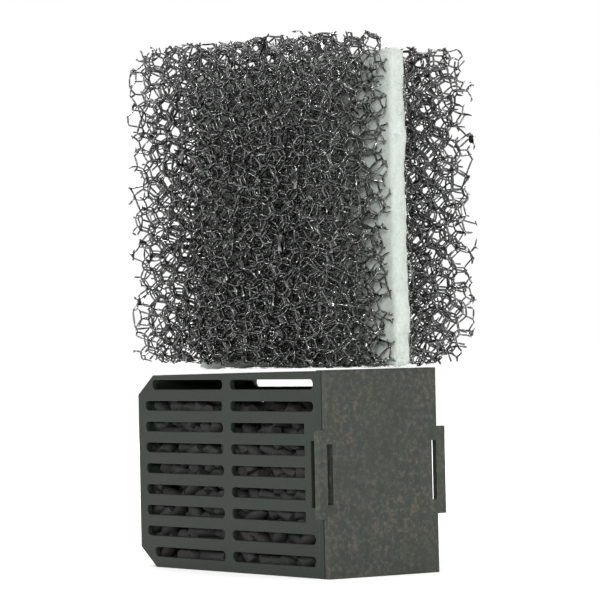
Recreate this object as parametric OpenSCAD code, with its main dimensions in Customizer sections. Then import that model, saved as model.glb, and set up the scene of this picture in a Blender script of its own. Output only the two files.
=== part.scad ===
// Carbon cage with a clip-on end cap, and the foam and floss sandwich that stands on it.
// Millimetres. +X points at the end cap, -Y is the front grille, +Z is up.
// The origin is the middle of the cage's underside.

/* [Cage] */
// Width of the cage over its end cap
cage_w = 99; // [85:1:130]
// Depth of the cage from front to back
cage_d = 40; // [34:1:60]
// Height of the cage
cage_h = 60; // [50:1:90]
// Thickness of every wall of the cage
wall_t = 1.8; // [1.4:0.1:2.4]
// How far the top comes down towards the closed end
top_draft = 0.8; // [0:0.1:1.5]
// Corner cut at the closed end, along the width
chamfer_x = 8.5; // [4:0.5:12]
// Corner cut at the closed end, along the height
chamfer_z = 6; // [4:0.5:9]
// Length of the raised rim around the mouth
rim_w = 2.2; // [1:0.1:3]
// Height of that rim over the walls
rim_h = 0.3; // [0.1:0.05:0.6]

/* [Grille slots] */
// Height of one slot
slot_h = 2.9; // [2:0.1:4]
// Distance from one slot row to the next
slot_pitch = 6.4; // [5.4:0.1:8]
// Wall left over the first row
slot_top = 2.6; // [2:0.1:5]
// Wall left under the last row, at least
slot_bottom = 2; // [1.5:0.1:5]
// Wall left beyond the slots at the closed end
slot_end = 4; // [3:0.1:6]
// How much further in the rows start that run past a cut corner
corner_inset = 4; // [3:0.1:6]
// Width of the bar between the two columns of slots
mid_bar = 4; // [2:0.1:8]
// Middle of that bar, from the middle of the cage
mid_bar_x = -1.4; // [-6:0.1:6]
// Wall left between the slots and the mouth
slot_mouth = 4.3; // [3.5:0.1:8]
// Wall left between the short slots and the latch window
slot_window = 3.1; // [1.5:0.1:5]
// Height over which a row counts as beside the latch window
window_shy = 4; // [2:0.1:6]

/* [End cap] */
// Thickness of the cap's plate
cap_t = 2; // [1.2:0.1:3]
// Open seam between the cap's plate and the cage's mouth
seam = 0.4; // [0.2:0.1:0.8]
// How far the finger tabs stand out past the grilles
tab_out = 3; // [1:0.1:6]
// Height of the finger tabs
tab_h = 25.6; // [20:0.1:32]
// Thickness of the locating lip inside the mouth
lip_t = 1.2; // [0.8:0.1:2]
// Depth of the locating lip inside the mouth
lip_len = 2.6; // [1:0.1:3]
// Clearance between the lip and the cage
lip_gap = 0.2; // [0.1:0.05:0.4]

/* [Snap arms] */
// Height of a snap arm
arm_h = 16.8; // [10:0.1:20]
// Thickness of a snap arm
arm_t = 1.3; // [0.8:0.1:2]
// Clearance between a snap arm and the wall beside it
arm_gap = 0.15; // [0.1:0.05:0.4]
// How far the barb reaches into the wall's thickness
barb_in = 1.5; // [0.8:0.1:1.6]
// Width of the latch window along the cage
window_w = 2.2; // [1.6:0.1:4]
// Clearance around the barb in its window
window_gap = 0.2; // [0.1:0.05:0.4]
// Room in the window over and under the barb
window_room = 1.2; // [0.4:0.1:2]
// Wall left between the latch window and the mouth
window_mouth = 3.7; // [2.8:0.1:6]
// Room around the barb in the cap's core slot
core_room = 0.3; // [0.1:0.05:0.8]

/* [Carbon] */
// Diameter of an extruded carbon pellet
pellet_d = 4; // [3:0.1:5]
// Longest pellet
pellet_max = 11.5; // [8:0.5:14]
// Shortest pellet
pellet_min = 7.5; // [5:0.5:8]
// Free height kept between the carbon and the cage's top wall
head_room = 5; // [4:0.5:20]
// Loose space around each pellet
pellet_gap = 0.15; // [0.1:0.05:0.5]
// Largest turn of a pellet out of line with its neighbours, degrees
pellet_turn = 14; // [0:1:15]
// Largest slope of a pellet, degrees
pellet_slope = 3; // [0:1:4]
// Seed of the pellets' spread
pellet_seed = 7; // [1:1:99]

/* [Foam and floss] */
// How far the foam and floss stand out past each end of the cage
media_over = 2; // [-10:0.5:15]
// Thickness of each foam slab
foam_t = 23; // [10:1:40]
// Thickness of the floss pad
floss_t = 6; // [3:0.5:15]
// Height of the front foam slab
foam_front_h = 96.5; // [50:0.5:140]
// Height of the back foam slab
foam_back_h = 92.5; // [50:0.5:140]
// Height of the floss pad
floss_h = 93; // [50:0.5:140]
// Front face of the sandwich, behind the front grille
media_set = 1; // [-6:0.5:6]
// Loose gap between the layers, and under them
media_gap = 0.3; // [0.1:0.05:1]
// Radius of the slabs' cut edges
foam_r = 2.5; // [0.5:0.1:5]
// Radius of the floss pad's edges
floss_r = 1.5; // [0.5:0.1:2]

/* [Hidden] */
$fn = 48;
over = 1;                                         // how far a cut runs past what it cuts

left_x = -cage_w/2;
cap_x = cage_w/2 - cap_t;                         // inner face of the cap's plate
mouth_x = cap_x - seam;
wall_y = cage_d/2 - rim_h;                        // outer face of both grilles
inner_y = wall_y - wall_t;
top_z = cage_h - rim_h;
inner_left = left_x + wall_t;
inner_top = top_z - wall_t;

// how far a cut corner's inner edges stand from those of its outside
chamfer_len = norm([chamfer_x, chamfer_z]);
chamfer_in_x = chamfer_x + wall_t*(chamfer_len - chamfer_x)/chamfer_z;
chamfer_in_z = chamfer_z + wall_t*(chamfer_len - chamfer_z)/chamfer_x;

// latch: window in the wall, barb and arm behind it
latch_z = cage_h/2;
window_x = mouth_x - window_mouth - window_w;     // window's edge away from the mouth
window_h = arm_h + 2*window_room;
arm_y = inner_y - arm_gap;                        // outer face of the arm
barb_y = inner_y + barb_in;
barb_x = window_x + window_w - window_gap;        // the barb's catch face
barb_flat = 0.5;
arm_tip_x = window_x - 0.4;

// slot rows, from the top down
rows = floor((cage_h - slot_top - slot_bottom + slot_pitch - slot_h)/slot_pitch);
function row_z(i) = cage_h - slot_top - slot_h/2 - i*slot_pitch;
function cut_corner(i) = row_z(i) + slot_h/2 > top_z - top_draft - chamfer_z
    || row_z(i) - slot_h/2 < chamfer_z;
function beside_window(i) = abs(row_z(i) - latch_z) < window_h/2 + slot_h/2 + window_shy;
function slot_from(i) = left_x + slot_end + (cut_corner(i) ? corner_inset : 0);

// carbon bed: bricks of parallel pellets, two lying along the cage or three across it
brick_z = pellet_d + (pellet_max - pellet_d)*sin(pellet_slope) + pellet_gap;
lane = pellet_d + pellet_gap;
brick_x = pellet_max*cos(pellet_turn) + 2*lane*sin(pellet_turn);
brick_y = 2*lane*cos(pellet_turn) + pellet_max*sin(pellet_turn);
short_max = min(pellet_max, brick_y - 3*lane*sin(pellet_turn));
bed_right = min(arm_tip_x, cap_x - lip_len) - pellet_gap;
bed_y = inner_y - pellet_gap;
layers = floor((inner_top - top_draft - head_room - wall_t)/brick_z);
lines = max(1, floor(2*bed_y/brick_y));
line_y = 2*bed_y/lines;
function layer_z(k) = wall_t + pellet_gap + (k + 0.5)*brick_z;
// the bed starts clear of the cut corner, which only the lowest layers meet
function bed_left(k) = inner_left + pellet_gap
    + max(0, chamfer_in_x - wall_t)*max(0, 1 - k*brick_z/(chamfer_in_z - wall_t));

// sandwich on the cage's top
media_w = cage_w + 2*media_over;
media_z = cage_h + media_gap;
front_y = -cage_d/2 + media_set;
floss_y = front_y + foam_t + media_gap;
back_y = floss_y + floss_t + media_gap;

cage_color = [0.29, 0.32, 0.29];
cap_color = [0.31, 0.33, 0.29];
carbon_color = [0.28, 0.27, 0.25];
foam_color = [0.12, 0.13, 0.12];
floss_color = [0.86, 0.89, 0.87];

// an outline in the X-Z plane, given depth along Y and centred on y = 0
module along_y(depth) {
    translate([0, depth/2, 0]) rotate([90, 0, 0]) linear_extrude(height = depth) children();
}

// an outline in the Y-Z plane, given thickness along +X from x
module along_x(x, thickness) {
    translate([x, 0, 0]) rotate([90, 0, 90]) linear_extrude(height = thickness) children();
}

// a plain or hollow side view of the cage, with both corners cut at the closed end
module side_outline(left, bottom, top, cut_x, cut_z, mouth) {
    polygon([
        [left, bottom + cut_z], [left + cut_x, bottom], [mouth, bottom],
        [mouth, top], [left + cut_x, top - top_draft], [left, top - top_draft - cut_z]
    ]);
}

// one slot, round at the closed end and round or square at the other
module slot_outline(from, to, square_end) {
    r = slot_h/2;
    translate([from + r, 0]) circle(r = r);
    if (!square_end) translate([to - r, 0]) circle(r = r);
    translate([from + r, -r]) square([to - from - (square_end ? r : 2*r), slot_h]);
}

module grille_slots() {
    left_end = mid_bar_x - mid_bar/2;
    right_start = mid_bar_x + mid_bar/2;
    for (i = [0:rows - 1]) translate([0, row_z(i)]) {
        short = beside_window(i);
        slot_outline(slot_from(i), left_end, false);
        slot_outline(right_start, short ? window_x - slot_window : mouth_x - slot_mouth, short);
    }
}

module cage_body() color(cage_color) difference() {
    union() {
        along_y(2*wall_y) side_outline(left_x, 0, top_z, chamfer_x, chamfer_z, mouth_x);
        translate([mouth_x - rim_w, -cage_d/2, 0]) cube([rim_w, cage_d, cage_h]);
    }
    along_y(2*inner_y)
        side_outline(inner_left, wall_t, inner_top, chamfer_in_x - wall_t,
                     chamfer_in_z - wall_t, mouth_x + over);
    along_y(cage_d + 2*over) grille_slots();
    along_y(cage_d + 2*over) translate([window_x, latch_z - window_h/2]) square([window_w, window_h]);
}

// the locating lip, open beside the snap arms
module cap_lip() {
    lip_y = inner_y - lip_gap;
    lip_low = wall_t + lip_gap;
    lip_high = inner_top - lip_gap;
    difference() {
        translate([cap_x - lip_len, -lip_y, lip_low]) cube([lip_len, 2*lip_y, lip_high - lip_low]);
        translate([cap_x - lip_len - over, -lip_y + lip_t, lip_low + lip_t])
            cube([lip_len + over, 2*(lip_y - lip_t), lip_high - lip_low - 2*lip_t]);
        translate([cap_x - lip_len - over, -cage_d, latch_z - window_h/2])
            cube([lip_len + over, 2*cage_d, window_h]);
    }
}

module end_cap() color(cap_color) {
    core_y = barb_in + core_room;                 // depth of the slot that the barb's core leaves
    core_h = arm_h + 2*core_room;
    difference() {
        along_x(cap_x, cap_t) {
            translate([-cage_d/2, 0]) square([cage_d, cage_h]);
            translate([-cage_d/2 - tab_out, latch_z - tab_h/2]) square([cage_d + 2*tab_out, tab_h]);
        }
        for (side = [-1, 1]) translate([0, side*(inner_y + core_y/2), latch_z])
            translate([cap_x - over, -core_y/2, -core_h/2]) cube([cap_t + 2*over, core_y, core_h]);
    }
    cap_lip();
}

// plan of the back arm: a flat strip with a ramped barb at its free end
module arm_plan() {
    inner_face = arm_y - arm_t;
    ramp_x = window_x + window_gap;
    polygon([
        [cap_x, inner_face], [cap_x, arm_y], [barb_x, arm_y], [barb_x, barb_y],
        [barb_x - barb_flat, barb_y], [ramp_x, arm_y], [arm_tip_x, arm_y - arm_t/4],
        [arm_tip_x, inner_face]
    ]);
}

module snap_arm() {
    translate([0, 0, latch_z - arm_h/2]) linear_extrude(height = arm_h) arm_plan();
}

module snap_arm_front() color(cap_color) mirror([0, 1, 0]) snap_arm();

module snap_arm_back() color(cap_color) snap_arm();

// parallel pellets side by side, turned and sloped together about the brick's middle
module brick(count, longest, turn, dice) {
    rotate([0, 0, turn]) for (n = [0:count - 1]) {
        length = pellet_min + (max(pellet_min, longest) - pellet_min)*dice[n];
        translate([0, (n - (count - 1)/2)*lane, 0])
            rotate([0, 90 + pellet_slope*(2*dice[n + 1] - 1), 0])
            cylinder(d = pellet_d, h = length, center = true);
    }
}

module carbon_pellets() color(carbon_color) for (k = [0:layers - 1]) {
    run = bed_right - bed_left(k);
    columns = max(1, floor(run/brick_x));
    for (i = [0:columns - 1], j = [0:lines - 1]) {
        dice = rands(0, 1, 5, pellet_seed + 1000*k + 40*i + j);
        across = (i + j + k) % 2 == 1;
        turn = pellet_turn*(2*dice[4] - 1);
        translate([bed_left(k) + (i + 0.5)*run/columns, -bed_y + (j + 0.5)*line_y, layer_z(k)])
            if (across) brick(3, short_max, 90 + turn, dice);
            else brick(2, pellet_max, turn, dice);
    }
}

// a plain block of a soft layer, its four long edges rounded
module soft_block(y, thickness, height, r) {
    translate([0, y + r, media_z]) linear_extrude(height = height) {
        for (side = [-1, 1], deep = [0, thickness - 2*r])
            translate([side*(media_w/2 - r), deep]) circle(r = r);
        translate([-media_w/2, 0]) square([media_w, thickness - 2*r]);
        translate([-media_w/2 + r, -r]) square([media_w - 2*r, thickness]);
    }
}

module foam_front() color(foam_color) soft_block(front_y, foam_t, foam_front_h, foam_r);

module floss_pad() color(floss_color) soft_block(floss_y, floss_t, floss_h, floss_r);

module foam_back() color(foam_color) soft_block(back_y, foam_t, foam_back_h, foam_r);

cage_body();
end_cap();
snap_arm_front();
snap_arm_back();
carbon_pellets();
foam_front();
floss_pad();
foam_back();
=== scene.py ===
import math
import random

import bmesh
import bpy
from mathutils import Euler, Matrix, Vector, kdtree, noise


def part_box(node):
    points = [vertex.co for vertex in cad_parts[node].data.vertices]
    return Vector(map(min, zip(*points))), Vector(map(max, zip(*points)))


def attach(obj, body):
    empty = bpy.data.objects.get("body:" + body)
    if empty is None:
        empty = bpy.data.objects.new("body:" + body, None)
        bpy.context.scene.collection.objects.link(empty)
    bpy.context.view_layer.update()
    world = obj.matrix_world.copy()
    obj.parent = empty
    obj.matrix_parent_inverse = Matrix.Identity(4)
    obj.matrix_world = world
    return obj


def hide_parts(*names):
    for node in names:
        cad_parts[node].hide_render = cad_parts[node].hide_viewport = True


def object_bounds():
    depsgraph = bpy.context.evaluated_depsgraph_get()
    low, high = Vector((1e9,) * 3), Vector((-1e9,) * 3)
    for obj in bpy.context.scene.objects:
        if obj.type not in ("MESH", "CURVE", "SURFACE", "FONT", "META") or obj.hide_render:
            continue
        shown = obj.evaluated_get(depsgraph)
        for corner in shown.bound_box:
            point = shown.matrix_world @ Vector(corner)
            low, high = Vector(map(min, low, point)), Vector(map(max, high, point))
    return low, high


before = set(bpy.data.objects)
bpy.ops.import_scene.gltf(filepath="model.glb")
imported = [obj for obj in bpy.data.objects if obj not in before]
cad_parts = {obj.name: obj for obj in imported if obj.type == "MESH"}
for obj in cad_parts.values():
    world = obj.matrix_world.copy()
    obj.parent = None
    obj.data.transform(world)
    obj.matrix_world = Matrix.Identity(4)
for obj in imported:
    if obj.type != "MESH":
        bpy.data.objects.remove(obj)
cadLow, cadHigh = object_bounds()
print("frame loaded")

mm = 0.001


# camera

cameraLook = {
    "azimuth": 54.38,                 # degrees round from the front grille towards the cap
    "elevation": -0.64,
    "roll": -1.2,
    "place": (0.86038, -0.60924, 0.06905),
    "lens": 210,
    "sensor": 36,
}


def makeCamera(look):
    azimuth, elevation, roll = (math.radians(look[k]) for k in ("azimuth", "elevation", "roll"))
    back = Vector((math.sin(azimuth) * math.cos(elevation), -math.cos(azimuth) * math.cos(elevation),
                   math.sin(elevation)))
    side = Vector((math.cos(azimuth), math.sin(azimuth), 0))
    up = back.cross(side)
    turned = math.cos(roll) * side + math.sin(roll) * up
    tilted = math.cos(roll) * up - math.sin(roll) * side
    data = bpy.data.cameras.new("camera")
    data.lens = look["lens"]
    data.sensor_width = look["sensor"]
    data.clip_end = 20
    camera = bpy.data.objects.new("camera", data)
    bpy.context.scene.collection.objects.link(camera)
    aim = Matrix((turned, tilted, back)).transposed().to_4x4()
    camera.matrix_world = Matrix.Translation(look["place"]) @ aim
    bpy.context.scene.camera = camera


makeCamera(cameraLook)
print("camera placed")


# helpers for node trees and meshes

def newMaterial(name):
    material = bpy.data.materials.new(name)
    material.use_nodes = True
    tree = material.node_tree
    return material, tree, tree.nodes["Principled BSDF"]


def addNode(tree, kind, **settings):
    node = tree.nodes.new(kind)
    for key, value in settings.items():
        if hasattr(node, key):
            setattr(node, key, value)
        else:
            node.inputs[key].default_value = value
    return node


def toneRamp(tree, source, low, high, lowColour, highColour):
    # a ramp between two colours, driven by a texture's strength
    ramp = addNode(tree, "ShaderNodeValToRGB")
    for element, position, colour in zip(ramp.color_ramp.elements, (low, high), (lowColour, highColour)):
        element.position = position
        element.color = (*colour, 1)
    tree.links.new(source.outputs["Fac"], ramp.inputs["Fac"])
    return ramp


def inOrder(things):
    # each thing once, in the order of its first showing, so that every run gives the same mesh
    return list(dict.fromkeys(things))


def smoothPoints(bm, points, share):
    bmesh.ops.smooth_vert(bm, verts=points, factor=share, use_axis_x=True, use_axis_y=True, use_axis_z=True)


def meshPiece(bm, name, material):
    mesh = bpy.data.meshes.new(name)
    bm.to_mesh(mesh)
    bm.free()
    mesh.materials.append(material)
    piece = bpy.data.objects.new(name, mesh)
    bpy.context.scene.collection.objects.link(piece)
    return piece


# stage and lights

stageLook = {
    "floorSize": 30,
    "backdrop": 1.0,                  # brightness of the backdrop itself
    "roomLight": 0.3,                 # and of the light that it gives
    "skyLight": 2.4,                  # soft light straight down
    "skySpread": 60,
    "lamps": [                        # place, size, power
        ((1.05, -0.80, 0.22), 0.22, 19),
        ((-0.6, -1.2, 0.6), 0.3, 7.5),
        ((0.5, 1.3, 0.6), 0.5, 9),
        ((-1.2, 0.5, 0.5), 0.5, 8),
    ],
}


def makeStage(look):
    bm = bmesh.new()
    bmesh.ops.create_grid(bm, x_segments=1, y_segments=1, size=look["floorSize"] / 2)
    material, tree, shader = newMaterial("paleFloor")
    shader.inputs["Base Color"].default_value = (0.97, 0.97, 0.97, 1)
    shader.inputs["Roughness"].default_value = 1
    shader.inputs["Specular IOR Level"].default_value = 0
    floor = meshPiece(bm, "floor", material)
    world = bpy.data.worlds.new("studio")
    world.use_nodes = True
    room = world.node_tree.nodes["Background"]
    room.inputs["Color"].default_value = (1, 1, 1, 1)
    room.inputs["Strength"].default_value = look["roomLight"]
    backdrop = addNode(world.node_tree, "ShaderNodeBackground", Strength=look["backdrop"])
    backdrop.inputs["Color"].default_value = (1, 1, 1, 1)
    seen = addNode(world.node_tree, "ShaderNodeLightPath")
    both = addNode(world.node_tree, "ShaderNodeMixShader")
    world.node_tree.links.new(seen.outputs["Is Camera Ray"], both.inputs["Fac"])
    world.node_tree.links.new(room.outputs["Background"], both.inputs[1])
    world.node_tree.links.new(backdrop.outputs["Background"], both.inputs[2])
    world.node_tree.links.new(both.outputs["Shader"], world.node_tree.nodes["World Output"].inputs["Surface"])
    bpy.context.scene.world = world
    sky = bpy.data.lights.new("sky", "SUN")
    sky.energy = look["skyLight"]
    sky.angle = math.radians(look["skySpread"])
    bpy.context.scene.collection.objects.link(bpy.data.objects.new("sky", sky))
    middle = (cadLow + cadHigh) / 2
    for number, (place, size, power) in enumerate(look["lamps"]):
        data = bpy.data.lights.new(f"softbox{number}", "AREA")
        data.shape = "DISK"
        data.size = size
        data.energy = power
        lamp = bpy.data.objects.new(data.name, data)
        bpy.context.scene.collection.objects.link(lamp)
        lamp.location = place
        lamp.rotation_euler = (middle - Vector(place)).to_track_quat("-Z", "Y").to_euler()
    bpy.context.scene.view_settings.view_transform = "Standard"


makeStage(stageLook)
print("stage and lights placed")


# materials

def plasticMaterial(name, base, look):
    # moulded plastic: a faint mottle, dusty specks and a fine grain in the gloss
    material, tree, shader = newMaterial(name)
    place = addNode(tree, "ShaderNodeTexCoord")
    mottle = addNode(tree, "ShaderNodeTexNoise", Scale=look["mottleScale"], Detail=4, Roughness=0.6)
    specks = addNode(tree, "ShaderNodeTexNoise", Scale=look["speckScale"], Detail=6, Roughness=0.7)
    drift = addNode(tree, "ShaderNodeTexNoise", Scale=look["driftScale"], Detail=2)
    for node in (mottle, specks, drift):
        tree.links.new(place.outputs["Object"], node.inputs["Vector"])
    tone = toneRamp(tree, mottle, 0.35, 0.65, [c * look["dark"] for c in base],
                    [c * look["light"] for c in base])
    dustMask = toneRamp(tree, specks, look["dustFrom"], look["dustTo"], (0, 0, 0), (1, 1, 1))
    spread = addNode(tree, "ShaderNodeMath", operation="MULTIPLY")
    tree.links.new(dustMask.outputs["Color"], spread.inputs[0])
    tree.links.new(drift.outputs["Fac"], spread.inputs[1])
    dusty = addNode(tree, "ShaderNodeMix", data_type="RGBA")
    tree.links.new(spread.outputs["Value"], dusty.inputs["Factor"])
    tree.links.new(tone.outputs["Color"], dusty.inputs["A"])
    dusty.inputs["B"].default_value = (*look["dustColour"], 1)
    tree.links.new(dusty.outputs["Result"], shader.inputs["Base Color"])
    gloss = addNode(tree, "ShaderNodeMapRange")
    gloss.inputs["To Min"].default_value = look["roughness"] - 0.07
    gloss.inputs["To Max"].default_value = look["roughness"] + 0.1
    tree.links.new(mottle.outputs["Fac"], gloss.inputs["Value"])
    tree.links.new(gloss.outputs["Result"], shader.inputs["Roughness"])
    shader.inputs["Specular IOR Level"].default_value = look["shine"]
    grain = addNode(tree, "ShaderNodeBump", Strength=look["grain"], Distance=0.0002)
    tree.links.new(specks.outputs["Fac"], grain.inputs["Height"])
    tree.links.new(grain.outputs["Normal"], shader.inputs["Normal"])
    return material


cageLook = {
    "mottleScale": 90, "speckScale": 900, "driftScale": 30, "dark": 0.85, "light": 1.15, "dustFrom": 0.6,
    "dustTo": 0.8, "dustColour": (0.06, 0.052, 0.044), "roughness": 0.45, "grain": 0.25, "shine": 0.32,
}
capLook = {
    "mottleScale": 120, "speckScale": 700, "driftScale": 40, "dark": 0.85, "light": 1.15, "dustFrom": 0.47,
    "dustTo": 0.72, "dustColour": (0.1, 0.08, 0.063), "roughness": 0.5, "grain": 0.3, "shine": 0.4,
}


def foamMaterial():
    material, tree, shader = newMaterial("blackFoam")
    place = addNode(tree, "ShaderNodeTexCoord")
    blotch = addNode(tree, "ShaderNodeTexNoise", Scale=160, Detail=3)
    tree.links.new(place.outputs["Object"], blotch.inputs["Vector"])
    tone = toneRamp(tree, blotch, 0.3, 0.7, (0.004, 0.0045, 0.004), (0.011, 0.012, 0.0105))
    tree.links.new(tone.outputs["Color"], shader.inputs["Base Color"])
    gloss = addNode(tree, "ShaderNodeMapRange")
    gloss.inputs["To Min"].default_value = 0.1
    gloss.inputs["To Max"].default_value = 0.3
    shader.inputs["Specular IOR Level"].default_value = 0.4
    shader.inputs["Coat Weight"].default_value = 1
    shader.inputs["Coat Roughness"].default_value = 0.06
    shader.inputs["Coat IOR"].default_value = 1.7
    tree.links.new(blotch.outputs["Fac"], gloss.inputs["Value"])
    tree.links.new(gloss.outputs["Result"], shader.inputs["Roughness"])
    return material


def flossMaterial():
    material, tree, shader = newMaterial("whiteFloss")
    place = addNode(tree, "ShaderNodeTexCoord")
    fibres = addNode(tree, "ShaderNodeTexNoise", Scale=700, Detail=5, Roughness=0.7, Distortion=2.0)
    tree.links.new(place.outputs["Object"], fibres.inputs["Vector"])
    tone = toneRamp(tree, fibres, 0.3, 0.7, (0.30, 0.33, 0.305), (0.42, 0.455, 0.42))
    tree.links.new(tone.outputs["Color"], shader.inputs["Base Color"])
    shader.inputs["Roughness"].default_value = 0.85
    shader.inputs["Sheen Weight"].default_value = 0.3
    fluff = addNode(tree, "ShaderNodeBump", Strength=0.6, Distance=0.0004)
    tree.links.new(fibres.outputs["Fac"], fluff.inputs["Height"])
    tree.links.new(fluff.outputs["Normal"], shader.inputs["Normal"])
    return material


def carbonMaterial():
    material, tree, shader = newMaterial("carbon")
    place = addNode(tree, "ShaderNodeTexCoord")
    dust = addNode(tree, "ShaderNodeTexNoise", Scale=500, Detail=6, Roughness=0.7)
    tree.links.new(place.outputs["Object"], dust.inputs["Vector"])
    tone = toneRamp(tree, dust, 0.3, 0.75, (0.0012, 0.00115, 0.0011), (0.006, 0.0057, 0.0053))
    tree.links.new(tone.outputs["Color"], shader.inputs["Base Color"])
    shader.inputs["Roughness"].default_value = 0.75
    pits = addNode(tree, "ShaderNodeBump", Strength=0.5, Distance=0.0003)
    tree.links.new(dust.outputs["Fac"], pits.inputs["Height"])
    tree.links.new(pits.outputs["Normal"], shader.inputs["Normal"])
    return material


cagePlastic = plasticMaterial("cagePlastic", (0.0075, 0.0115, 0.0075), cageLook)
capPlastic = plasticMaterial("capPlastic", (0.0135, 0.0175, 0.0125), capLook)
blackFoam = foamMaterial()
whiteFloss = flossMaterial()
carbon = carbonMaterial()
print("materials made")


# moulded plastic pieces: the frame's own solids with their outer edges eased

edgeLook = {"ease": 0.2, "segments": 2, "sharp": 40, "weld": 0.001, "flat": 0.5}


def easedPiece(name, node, body, material, look):
    bm = bmesh.new()
    bm.from_mesh(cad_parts[node].data)
    bmesh.ops.scale(bm, verts=bm.verts[:], vec=(1 / mm,) * 3)
    bmesh.ops.remove_doubles(bm, verts=bm.verts[:], dist=look["weld"])
    bmesh.ops.dissolve_limit(bm, angle_limit=math.radians(look["flat"]), verts=bm.verts[:], edges=bm.edges[:])
    outer = [e for e in bm.edges if e.is_manifold and e.is_convex
             and e.calc_face_angle() > math.radians(look["sharp"])]
    bmesh.ops.bevel(bm, geom=outer, offset=look["ease"], offset_type="OFFSET", segments=look["segments"],
                    profile=0.5, affect="EDGES", clamp_overlap=False, material=-1)
    bmesh.ops.scale(bm, verts=bm.verts[:], vec=(mm,) * 3)
    print(name, len(bm.faces), "faces")
    piece = meshPiece(bm, name, material)
    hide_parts(node)
    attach(piece, body)


easedPiece("cage", "cage_body", "cage", cagePlastic, edgeLook)
easedPiece("endCap", "end_cap", "end_cap", capPlastic, edgeLook)
easedPiece("snapArmFront", "snap_arm_front", "end_cap", capPlastic, edgeLook)
easedPiece("snapArmBack", "snap_arm_back", "end_cap", capPlastic, edgeLook)


# carbon pellets, poured into the cage and left to settle: one scene unit is ten millimetres while they fall

pileLook = {
    "count": 770,
    "level": 54.6,                    # no pellet is left lying higher than this
    "thick": 4,
    "lengths": (6, 12.5),
    "kinds": 10,
    "rim": 0.3,                       # worn rim of a pellet's ends
    "rough": 0.25,                    # how uneven its broken ends are
    "seed": 5,
    "unit": 0.1,                      # scene units to a millimetre
    "frames": 110,
    "mass": 0.1,
    "friction": 0.5,
    "margin": 0.002,                  # room kept between touching pellets, in scene units
    "wall": 1.8,                      # the cage's wall
    "rimStep": 0.3,                   # how far the grilles lie behind the cage's depth
    "slant": (9.07, 6.93),            # run and rise of the slanting wall at the closed end
    "lip": 4.8,                       # room that the cap's lip takes at the open end
    "arm": (8.9, 1.7, 8.6),           # the same for a snap arm: length, thickness, half its height
    "blockTall": 400,                 # height of the blocks that stand in for the cage's walls
    "blockThick": 30,
    "column": (8, 3),                 # pellets side by side as they are poured
    "gap": (11.4, 11.6, 7.5),
}


def pelletMesh(length, look, dice):
    bm = bmesh.new()
    radius = look["thick"] / 2
    bmesh.ops.create_cone(bm, cap_ends=True, segments=12, radius1=radius, radius2=radius, depth=length)
    rims = [e for e in bm.edges if abs(e.verts[0].co.z - e.verts[1].co.z) < 0.1]
    bmesh.ops.bevel(bm, geom=rims, offset=look["rim"], offset_type="OFFSET", segments=1, profile=0.5,
                    affect="EDGES", clamp_overlap=False, material=-1)
    for v in bm.verts:
        if abs(v.co.z) > length / 2 - 0.01:
            v.co.z -= math.copysign(look["rough"] * dice.random(), v.co.z)
    mesh = bpy.data.meshes.new("pellet")
    bm.to_mesh(mesh)
    bm.free()
    return mesh


def pourWalls(look):
    # the cage's inside as blocks: floor, sides, closed end with its slanting wall, lip and snap arms
    low, high = (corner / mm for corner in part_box("cage_body"))
    inLow = low + Vector((look["wall"], look["wall"] + look["rimStep"], look["wall"]))
    inHigh = high - Vector((look["lip"], look["wall"] + look["rimStep"], 0))
    tall = look["blockTall"]
    thick = look["blockThick"]
    corners = [
        ((low.x, low.y, inLow.z - thick), (high.x, high.y, inLow.z)),
        ((low.x, inLow.y - thick, 0), (high.x, inLow.y, tall)),
        ((low.x, inHigh.y, 0), (high.x, inHigh.y + thick, tall)),
        ((inLow.x - thick, low.y, 0), (inLow.x, high.y, tall)),
        ((inHigh.x, low.y, 0), (inHigh.x + thick, high.y, tall)),
    ]
    length, deep, half = look["arm"]
    middle = (low.z + high.z) / 2
    for side in (inLow.y, inHigh.y):
        corners.append(((high.x - length, side - deep, middle - half), (high.x, side + deep, middle + half)))
    blocks = [(Vector(start), Vector(end), 0) for start, end in corners]
    run, rise = look["slant"]
    foot = Vector((low.x + run, 0, inLow.z))
    head = Vector((inLow.x, 0, low.z + rise))
    tilt = math.atan2(head.z - foot.z, foot.x - head.x)
    centre = (foot + head) / 2 - thick / 2 * Vector((math.sin(tilt), 0, math.cos(tilt)))
    reach = Vector((thick, high.y - low.y, thick)) / 2
    blocks.append((centre - reach, centre + reach, tilt))
    return blocks


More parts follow.
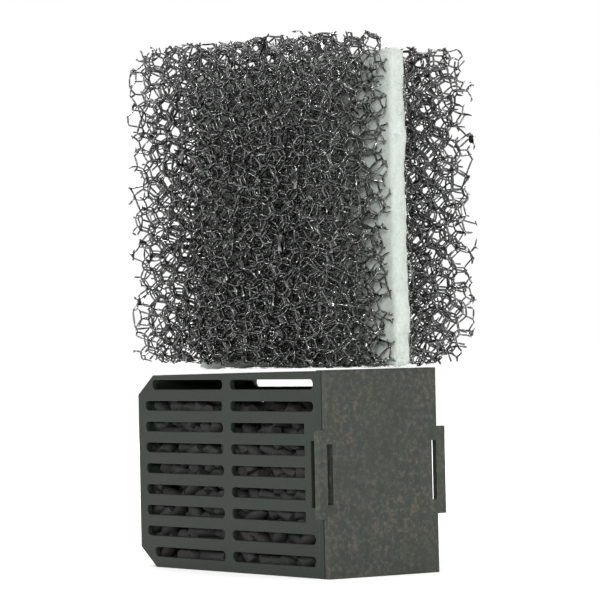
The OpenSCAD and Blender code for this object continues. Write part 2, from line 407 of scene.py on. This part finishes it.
def pourPellets(look):
    scene = bpy.context.scene
    bpy.ops.rigidbody.world_add()
    world = scene.rigidbody_world
    world.collection = bpy.data.collections.new("pour")
    world.substeps_per_frame = 5
    world.point_cache.frame_end = look["frames"]
    unit = look["unit"]
    blocks = []
    for low, high, tilt in pourWalls(look):
        bm = bmesh.new()
        bmesh.ops.create_cube(bm, size=1)
        bmesh.ops.scale(bm, verts=bm.verts[:], vec=(high - low) * unit)
        block = meshPiece(bm, "block", carbon)
        block.location = (low + high) / 2 * unit
        block.rotation_euler.y = tilt
        world.collection.objects.link(block)
        block.rigid_body.type = "PASSIVE"
        block.rigid_body.collision_shape = "BOX"
        blocks.append(block)
    dice = random.Random(look["seed"])
    shortest, longest = look["lengths"]
    kinds = [pelletMesh(shortest + (longest - shortest) * n / (look["kinds"] - 1), look, dice)
             for n in range(look["kinds"])]
    across, deep = look["column"]
    pellets = []
    for number in range(look["count"]):
        layer, place = divmod(number, across * deep)
        column = Vector((place // deep - (across - 1) / 2, place % deep - (deep - 1) / 2, layer + 1.2))
        pellet = bpy.data.objects.new("pellet", kinds[dice.randrange(look["kinds"])])
        pellet.location = Vector([column[k] * look["gap"][k] for k in range(3)]) * unit
        pellet.rotation_euler = [dice.uniform(0, math.tau) for _ in range(3)]
        pellet.scale = (unit,) * 3
        world.collection.objects.link(pellet)
        pellet.rigid_body.mass = look["mass"]
        pellet.rigid_body.collision_shape = "CONVEX_HULL"
        pellets.append(pellet)
    for thing in blocks + pellets:
        thing.rigid_body.friction = look["friction"]
        thing.rigid_body.use_margin = True
        thing.rigid_body.collision_margin = look["margin"]
    for number in range(1, look["frames"] + 1):
        scene.frame_set(number)
    pile = bmesh.new()
    shelf = bpy.data.meshes.new("shelf")
    for pellet in pellets:
        bm = bmesh.new()
        bm.from_mesh(pellet.data)
        rest = pellet.matrix_world.copy()
        rest.translation /= unit
        turn = rest.to_quaternion().to_matrix().to_4x4()
        bmesh.ops.transform(bm, matrix=Matrix.Translation(rest.translation) @ turn, verts=bm.verts[:])
        bm.to_mesh(shelf)
        if max(v.co.z for v in bm.verts) < look["level"]:
            pile.from_mesh(shelf)
        bm.free()
    scene.frame_set(1)
    bpy.ops.rigidbody.world_remove()
    for thing in blocks + pellets:
        bpy.data.objects.remove(thing)
    for mesh in kinds + [shelf]:
        bpy.data.meshes.remove(mesh)
    for group in [c for c in bpy.data.collections if c.name == "pour"]:
        bpy.data.collections.remove(group)
    print("carbonPile top", round(max(v.co.z for v in pile.verts), 1), "faces", len(pile.faces))
    bmesh.ops.scale(pile, verts=pile.verts[:], vec=(mm,) * 3)
    for face in pile.faces:
        face.smooth = len(face.verts) == 4
    return pile


heap = meshPiece(pourPellets(pileLook), "carbonPile", carbon)
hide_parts("carbon_pellets")
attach(heap, "cage")


# open-cell foam, worked out in millimetres

foamLook = {
    "cell": 6.3,                      # distance between like cells
    "lean": (0.4, 0.62, 0.3),         # turn of the cells' grid against the slab
    "wander": 0.115,                  # how far a cell's middle strays, as a share of cell
    "strut": 0.4,                    # set-back of a window from its cell's edges
    "round": 0.75,                    # how far a window's corners are drawn in
    "thin": 0.22,                     # how far the struts are thinned between their nodes
    "cutWave": 1.5,                   # how far a cut face wanders in and out
    "cutWaveSize": 3.2,
    "proud": 1.4,                     # how far a free face's struts may stand out of the slab
    "strutSides": 4,                  # points round one strut
    "broken": 0.8,                   # share of the cut struts that broke off at their node
    "weld": 0.1,
    "batch": 40,                      # cells gathered before they join the net
    "corner": 5,                      # edges that meet at the corner of a window
    "crumb": 80,                      # loose scraps with fewer points than this fall out
}


def cellMiddles(low, high, look, seed):
    # a leaning body-centred grid, each middle strayed a little, running past the slab on every side
    dice = random.Random(seed)
    size = look["cell"]
    middle = (low + high) / 2
    half = (high - low) / 2
    turn = Euler(look["lean"]).to_matrix()
    steps = math.ceil(half.length / size) + 2
    margin = Vector((1.6 * size,) * 3)
    middles = []
    for i in range(-steps, steps):
        for j in range(-steps, steps):
            for k in range(-steps, steps):
                for shift in (0, 0.5):
                    at = turn @ (Vector((i, j, k)) + Vector((shift,) * 3)) * size
                    if all(abs(at[n]) < half[n] + margin[n] for n in range(3)):
                        stray = Vector([dice.gauss(0, look["wander"] * size) for _ in range(3)])
                        middles.append(middle + at + stray)
    return middles


def foamCell(here, tree, look):
    # a block cut by the planes half-way to its neighbours, then its edges cut back to leave the windows
    bm = bmesh.new()
    bmesh.ops.create_cube(bm, size=3 * look["cell"])
    reach = 3 * look["cell"]
    for other, _, distance in tree.find_n(here, 40)[1:]:
        if distance / 2 > reach:
            break
        half = (other - here) / 2
        cut = bmesh.ops.bisect_plane(bm, geom=bm.verts[:] + bm.edges[:] + bm.faces[:], dist=0.0001,
                                     plane_co=half, plane_no=half, clear_outer=True)
        rim = [e for e in cut["geom_cut"] if isinstance(e, bmesh.types.BMEdge)]
        if rim:
            bmesh.ops.contextual_create(bm, geom=rim)
            reach = max(v.co.length for v in bm.verts)
    walls = set(bmesh.ops.bevel(bm, geom=bm.edges[:], offset=look["strut"], offset_type="OFFSET", segments=1,
                                profile=0.5, affect="EDGES", clamp_overlap=False, material=-1)["faces"])
    bmesh.ops.delete(bm, geom=[f for f in bm.faces if f not in walls], context="FACES")
    bmesh.ops.subdivide_edges(bm, edges=[e for e in bm.edges if e.is_boundary], cuts=2)
    bmesh.ops.reverse_faces(bm, faces=bm.faces[:])
    bmesh.ops.translate(bm, verts=bm.verts[:], vec=here)
    return bm


def foamNet(low, high, look, seed):
    # every cell's walls welded into one net of struts
    # the cells are gathered in batches, because adding to a large mesh is slow
    middles = cellMiddles(low, high, look, seed)
    tree = kdtree.KDTree(len(middles))
    for number, middle in enumerate(middles):
        tree.insert(middle, number)
    tree.balance()
    near = 0.5 * look["cell"]
    net = bmesh.new()
    batch = bmesh.new()
    shelf = bpy.data.meshes.new("shelf")
    inside = [m for m in middles if all(low[k] - near < m[k] < high[k] + near for k in range(3))]
    for number, middle in enumerate(inside):
        cell = foamCell(middle, tree, look)
        cell.to_mesh(shelf)
        cell.free()
        batch.from_mesh(shelf)
        if number % look["batch"] == look["batch"] - 1 or middle is inside[-1]:
            batch.to_mesh(shelf)
            net.from_mesh(shelf)
            batch.clear()
    batch.free()
    bpy.data.meshes.remove(shelf)
    bmesh.ops.remove_doubles(net, verts=net.verts[:], dist=look["weld"])
    corners = [v for v in net.verts if len(v.link_edges) >= look["corner"]]
    smoothPoints(net, corners, look["round"])
    smoothPoints(net, net.verts[:], look["thin"])
    return net


def cutFace(net, point, normal, look):
    # the points are pushed out by a wave, cut flat and drawn back, so that each strut ends at its own height
    def wave(co):
        flat = co - co.dot(normal) * normal
        rise = noise.noise(flat / look["cutWaveSize"] + 30 * normal)
        return look["cutWave"] * min(1, max(0, 0.5 + rise))

    def height(v):
        return (v.co - point).dot(normal)

    moved = [v for v in net.verts if height(v) > -look["cutWave"]]
    for v in moved:
        v.co += wave(v.co) * normal
    faces = inOrder(f for v in moved for f in v.link_faces)
    edges = inOrder(e for f in faces for e in f.edges)
    verts = inOrder(v for f in faces for v in f.verts)
    cut = bmesh.ops.bisect_plane(net, geom=verts + edges + faces, dist=0.001, plane_co=point, plane_no=normal,
                                 clear_outer=True)
    ends = [v for v in cut["geom_cut"] if isinstance(v, bmesh.types.BMVert)]
    for v in inOrder(v for v in moved + ends if v.is_valid):
        v.co -= wave(v.co) * normal


def breakStruts(net, look, seed):
    # a share of the cut struts goes, back to the node that they grew from
    dice = random.Random(seed)
    seen = set()
    gone = {}
    for start in net.verts:
        if start in seen or not start.is_boundary:
            continue
        ring = [start]
        reach = [start]
        seen.add(start)
        while reach:
            for e in reach.pop().link_edges:
                for v in e.verts:
                    if e.is_boundary and v not in seen:
                        seen.add(v)
                        ring.append(v)
                        reach.append(v)
        if dice.random() > look["broken"]:
            continue
        while 0 < len(ring) <= look["strutSides"] and all(len(v.link_edges) < look["corner"] for v in ring):
            gone.update(dict.fromkeys(ring))
            around = inOrder(v for r in ring for f in r.link_faces for v in f.verts)
            ring = [v for v in around if v not in gone]
    bmesh.ops.delete(net, geom=list(gone), context="VERTS")


def dropCrumbs(net, look):
    # scraps that the cuts left loose
    seen = set()
    crumbs = []
    for start in net.verts:
        if start in seen:
            continue
        seen.add(start)
        group = [start]
        todo = [start]
        while todo:
            for e in todo.pop().link_edges:
                for v in e.verts:
                    if v not in seen:
                        seen.add(v)
                        group.append(v)
                        todo.append(v)
        if len(group) < look["crumb"]:
            crumbs += group
    bmesh.ops.delete(net, geom=crumbs, context="VERTS")


def makeFoam(name, node, body, seed, look, held, trims, lift):
    # held faces keep inside the slab, the others may stand a little proud, trims take off worn corners,
    # and lift is how far the slab rides up at the cage's closed end
    low, high = (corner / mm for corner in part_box(node))
    net = foamNet(low, high, look, seed)
    for axis in range(3):
        for sign, corner in ((-1, low), (1, high)):
            normal = Vector()
            normal[axis] = sign
            proud = 0 if (axis, sign) in held else look["proud"]
            cutFace(net, corner + proud * normal, normal, look)
    for side, depth in trims:
        normal = Vector(side).normalized()
        corner = Vector([high[k] if side[k] > 0 else low[k] for k in range(3)])
        cutFace(net, corner - depth * normal, normal, look)
    breakStruts(net, look, seed)
    dropCrumbs(net, look)
    for v in net.verts:
        v.co.z += lift * (high.x - v.co.x) / (high.x - low.x)
    bmesh.ops.holes_fill(net, edges=[e for e in net.edges if e.is_boundary], sides=0)
    bmesh.ops.scale(net, verts=net.verts[:], vec=(mm, mm, mm))
    for face in net.faces:
        face.smooth = True
    print(name, len(net.verts), "points", len(net.faces), "faces")
    slab = meshPiece(net, name, blackFoam)
    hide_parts(node)
    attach(slab, body)


makeFoam("foamFront", "foam_front", "foam_front", 11, foamLook, [(1, 1), (2, -1)],
         [((-1, 0, 1), 2.2), ((-1, 0, -1), 1.5)], 2.2)
makeFoam("foamBack", "foam_back", "foam_back", 12, foamLook, [(1, -1), (2, -1)],
         [((0, 1, -1), 4.5), ((0, 1, 1), 2.2)], 0)


# the floss between the slabs, worked out in millimetres

flossLook = {
    "inset": 0.35,                    # depth of the loose fluff round the body
    "step": 1.6,                      # size of the body's facets
    "smoothing": 2,                   # rounds of smoothing that ease its edges
    "lump": 0.7, "lumpSize": 7,
    "fuzz": 0.35, "fuzzSize": 1.6,
    "fibres": 5200,
    "fibreLength": (2.5, 7),
    "fibreThick": 0.07,
    "fibreOut": 0.5,                  # how much a fibre points away from the body
    "fibreCurl": 0.55,
}


def flossBody(low, high, look):
    bm = bmesh.new()
    size = high - low - Vector((2 * look["inset"],) * 3)
    bmesh.ops.create_cube(bm, size=1)
    bmesh.ops.scale(bm, verts=bm.verts[:], vec=size)
    for axis in range(3):
        along = [e for e in bm.edges if abs((e.verts[0].co - e.verts[1].co)[axis]) > 0.9 * size[axis]]
        bmesh.ops.subdivide_edges(bm, edges=along, cuts=int(size[axis] / look["step"]), use_grid_fill=True)
    for _ in range(look["smoothing"]):
        smoothPoints(bm, bm.verts[:], 0.5)
    bmesh.ops.translate(bm, verts=bm.verts[:], vec=(low + high) / 2)
    bm.normal_update()
    for v in bm.verts:
        v.co += v.normal * (look["lump"] * noise.noise(v.co / look["lumpSize"])
                            + look["fuzz"] * noise.noise(v.co / look["fuzzSize"]))
    return bm


def flossFibres(body, low, high, look):
    # fine curled fibres that start in the body's surface and wander over it
    dice = random.Random(21)
    body.faces.ensure_lookup_table()
    curve = bpy.data.curves.new("fibres", "CURVE")
    curve.dimensions = "3D"
    curve.bevel_depth = look["fibreThick"] / 2 * mm
    curve.bevel_resolution = 0
    for _ in range(look["fibres"]):
        face = body.faces[dice.randrange(len(body.faces))]
        at = face.calc_center_median()
        out = face.normal
        heading = Vector([dice.gauss(0, 1) for _ in range(3)])
        heading = (heading - heading.dot(out) * out).normalized() + look["fibreOut"] * dice.random() * out
        stride = dice.uniform(*look["fibreLength"]) / 3
        spline = curve.splines.new("POLY")
        spline.points.add(3)
        for point in spline.points:
            kept = Vector([min(high[k], max(low[k], at[k])) for k in range(3)])
            point.co = (*(kept * mm), 1)
            heading += Vector([dice.gauss(0, look["fibreCurl"]) for _ in range(3)])
            heading.normalize()
            at = at + stride * heading
    return curve


def makeFloss(look):
    low, high = (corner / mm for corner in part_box("floss_pad"))
    body = flossBody(low, high, look)
    curve = flossFibres(body, low, high, look)
    bmesh.ops.scale(body, verts=body.verts[:], vec=(mm, mm, mm))
    holder = bpy.data.objects.new("fibres", curve)
    fibres = bpy.data.meshes.new_from_object(holder)
    body.from_mesh(fibres)
    for face in body.faces:
        face.smooth = True
    bpy.data.objects.remove(holder)
    bpy.data.curves.remove(curve)
    bpy.data.meshes.remove(fibres)
    print("flossPad", len(body.verts), "points", len(body.faces), "faces")
    pad = meshPiece(body, "flossPad", whiteFloss)
    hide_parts("floss_pad")
    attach(pad, "floss")


makeFloss(flossLook)
